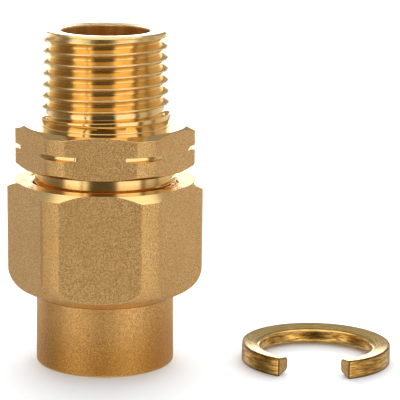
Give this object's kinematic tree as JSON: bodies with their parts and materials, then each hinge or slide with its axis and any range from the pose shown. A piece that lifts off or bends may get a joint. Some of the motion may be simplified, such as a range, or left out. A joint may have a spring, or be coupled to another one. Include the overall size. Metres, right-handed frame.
{
  "type": "union fitting",
  "caption": "Brass union fitting for corrugated tube: tapered male pipe thread and hexagon flange above a long hexagon coupling nut with a round collar, with a loose split ring beside it.",
  "frame": {"origin": "centre of the tube hole in the nut's lower face, on the fitting's axis, in the plane that the fitting stands on", "axes": "+Z along the fitting's axis towards the pipe thread; -Y out of a flat of each hexagon; the loose ring lies towards +X"},
  "size_m": [0.0637, 0.0294, 0.0551],
  "materials": {
    "adapter_brass": "turned and polished on the threads, sandblasted on the flange's sides",
    "nut_brass": "sandblasted with a fine sparkling grain, turned on the upper face and chamfer",
    "washer_fibre": "matt pressed fibre",
    "ring_brass": "drawn, streaked and slightly tarnished"
  },
  "bodies": {
    "nut": {"coupling_nut": "nut_brass"},
    "washer": {"sealing_washer": "washer_fibre"},
    "adapter": {"adapter_body": "adapter_brass"},
    "ring": {"split_ring": "ring_brass"}
  },
  "joints": [
    {"name": "adapter_advance", "type": "slide", "parent": "nut", "child": "washer", "axis": [0, 0, 1], "range_m": [-0.0018, 0.00975]},
    {"name": "adapter_turn", "type": "hinge", "parent": "washer", "child": "adapter", "pos_m": [0, 0, 0], "axis": [0, 0, 1], "range_deg": [-431.9, 2339.9]},
    {"name": "ring_lift", "type": "slide", "parent": "nut", "child": "ring", "axis": [0, 0, 1], "range_m": [0, 0.03]}
  ],
  "couplings": [
    {"joint": "adapter_advance", "follows": "adapter_turn", "m_per_rad": 0.00023873}
  ]
}
